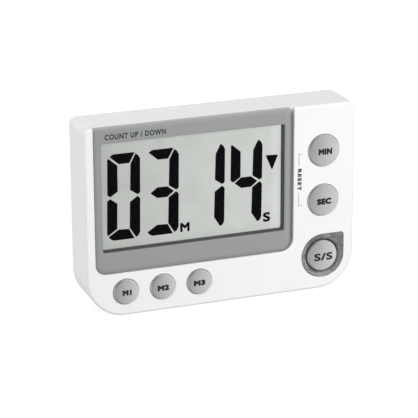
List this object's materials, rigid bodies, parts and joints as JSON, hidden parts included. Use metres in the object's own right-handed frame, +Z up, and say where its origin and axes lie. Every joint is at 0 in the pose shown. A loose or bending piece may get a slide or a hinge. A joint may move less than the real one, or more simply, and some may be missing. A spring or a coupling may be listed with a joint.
{
  "type": "lab timer",
  "caption": "Upright digital bench timer: large display in a grey bezel, silver push buttons, alarm light window, fold-out stand, magnetic back and battery door.",
  "frame": {"origin": "centre of the footprint on the table, at the foot of the housing", "axes": "+Z up, +X to the right seen from the front, the display faces -Y"},
  "size_m": [0.13, 0.0262, 0.0892],
  "materials": {
    "white_abs": "moulded, soft sheen, very fine texture",
    "grey_abs": "moulded, fine satin texture",
    "silver_abs": "satin silver paint over moulded plastic",
    "clear_acrylic": "polished clear sheet",
    "lcd_glass": "grey-green reflective display glass with a matt polariser",
    "smoke_clear": "polished smoky clear plastic",
    "natural_plastic": "moulded",
    "elastomer": "layered conductive rubber",
    "silicone": "matt silicone",
    "circuit_board": "solder mask over laminate",
    "black_epoxy": "cured epoxy",
    "black_plastic": "moulded, fine texture",
    "red_led": "tinted clear epoxy",
    "plated_steel": "zinc plated",
    "nickel_plate": "nickel plated spring steel",
    "brass": "rolled sheet",
    "magnet": "nickel plated, lightly brushed",
    "cell_wrap": "printed shrink sleeve, no lettering",
    "red_wire": "PVC insulation",
    "black_wire": "PVC insulation"
  },
  "bodies": {
    "case": {"front_shell": "white_abs", "rear_shell": "white_abs", "bezel": "grey_abs", "display_window": "clear_acrylic", "lcd_front_glass": "lcd_glass", "lcd_rear_glass": "lcd_glass", "lcd_frame": "natural_plastic", "zebra_strip_bottom": "elastomer", "zebra_strip_top": "elastomer", "main_pcb": "circuit_board", "chip_blob": "black_epoxy", "clock_crystal": "plated_steel", "alarm_led": "red_led", "selector_switch": "plated_steel", "piezo_disc": "brass", "piezo_wire_a": "red_wire", "battery_wire_red": "red_wire", "piezo_wire_b": "black_wire", "battery_wire_black": "black_wire", "cell_upper": "cell_wrap", "cell_lower": "cell_wrap", "bridge_contact": "nickel_plate", "positive_contact": "nickel_plate", "negative_contact": "nickel_plate", "magnet_left": "magnet", "magnet_right": "magnet", "alarm_lens": "smoke_clear", "min_rubber_key": "silicone", "sec_rubber_key": "silicone", "start_stop_rubber_key": "silicone", "m1_rubber_key": "silicone", "m2_rubber_key": "silicone", "m3_rubber_key": "silicone", "shell_screw_1": "plated_steel", "board_screw_1": "plated_steel", "shell_screw_2": "plated_steel", "board_screw_2": "plated_steel", "shell_screw_3": "plated_steel", "board_screw_3": "plated_steel", "shell_screw_4": "plated_steel", "board_screw_4": "plated_steel"},
    "min_button": {"min_button": "silver_abs"},
    "sec_button": {"sec_button": "silver_abs"},
    "start_stop_button": {"start_stop_button": "silver_abs"},
    "m1_button": {"m1_button": "silver_abs"},
    "m2_button": {"m2_button": "silver_abs"},
    "m3_button": {"m3_button": "silver_abs"},
    "stand": {"stand": "white_abs"},
    "battery_door": {"battery_door": "white_abs"},
    "selector_knob": {"selector_knob": "black_plastic"}
  },
  "joints": [
    {"name": "min_press", "type": "slide", "parent": "case", "child": "min_button", "axis": [0, 1, 0], "range_m": [0, 0.001], "stiffness_N_per_m": 800, "deforming": ["min_rubber_key"]},
    {"name": "sec_press", "type": "slide", "parent": "case", "child": "sec_button", "axis": [0, 1, 0], "range_m": [0, 0.001], "stiffness_N_per_m": 800, "deforming": ["sec_rubber_key"]},
    {"name": "start_stop_press", "type": "slide", "parent": "case", "child": "start_stop_button", "axis": [0, 1, 0], "range_m": [0, 0.001], "stiffness_N_per_m": 800, "deforming": ["start_stop_rubber_key"]},
    {"name": "m1_press", "type": "slide", "parent": "case", "child": "m1_button", "axis": [0, 1, 0], "range_m": [0, 0.001], "stiffness_N_per_m": 800, "deforming": ["m1_rubber_key"]},
    {"name": "m2_press", "type": "slide", "parent": "case", "child": "m2_button", "axis": [0, 1, 0], "range_m": [0, 0.001], "stiffness_N_per_m": 800, "deforming": ["m2_rubber_key"]},
    {"name": "m3_press", "type": "slide", "parent": "case", "child": "m3_button", "axis": [0, 1, 0], "range_m": [0, 0.001], "stiffness_N_per_m": 800, "deforming": ["m3_rubber_key"]},
    {"name": "stand_swing", "type": "hinge", "parent": "case", "child": "stand", "pos_m": [0, 0.0117, 0.044], "axis": [1, 0, 0], "range_deg": [0, 38]},
    {"name": "battery_door_swing", "type": "hinge", "parent": "case", "child": "battery_door", "pos_m": [0, 0.0123, 0.0507], "axis": [-1, 0, 0], "range_deg": [0, 80]},
    {"name": "selector_slide", "type": "slide", "parent": "case", "child": "selector_knob", "axis": [0, 0, 1], "range_m": [0, 0.004]}
  ]
}
